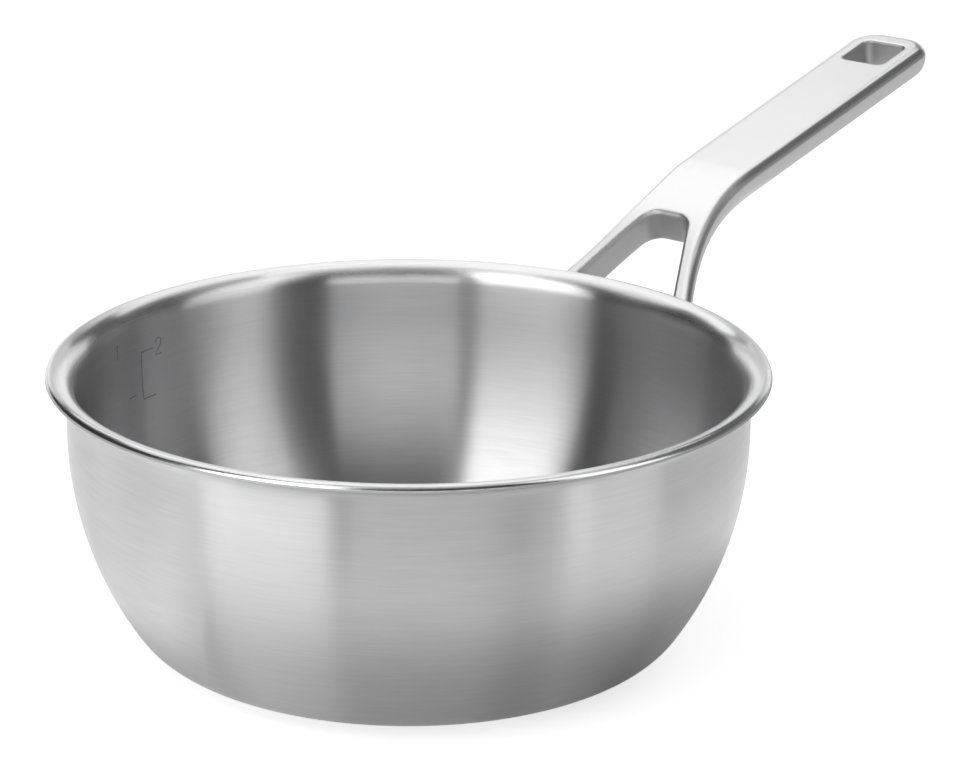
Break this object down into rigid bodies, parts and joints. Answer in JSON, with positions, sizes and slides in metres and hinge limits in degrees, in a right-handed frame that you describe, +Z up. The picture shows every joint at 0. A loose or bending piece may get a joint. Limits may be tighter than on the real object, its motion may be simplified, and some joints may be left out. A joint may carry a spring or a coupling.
{
  "type": "saute pan",
  "caption": "Deep stainless saute pan: bowed bowl with a flat base and flared pouring rim, and a forked rising handle with a rectangular hanging hole.",
  "frame": {"origin": "centre of the base's flat underside, where the pan rests on the hob", "axes": "+Z up along the bowl's axis, +X along the handle's reach, away from the bowl"},
  "size_m": [0.3922, 0.217, 0.1322],
  "materials": {
    "shell_steel": "satin, brushed around the bowl",
    "core_aluminium": "plain",
    "liner_steel": "satin inside, polished on the rim",
    "cast_steel": "fine satin",
    "weld_metal": "as welded"
  },
  "bodies": {
    "root": {"outer_shell": "shell_steel", "aluminium_core": "core_aluminium", "inner_liner": "liner_steel", "handle": "cast_steel", "weld_left_upper": "weld_metal", "weld_left_lower": "weld_metal", "weld_right_upper": "weld_metal", "weld_right_lower": "weld_metal"}
  },
  "joints": []
}
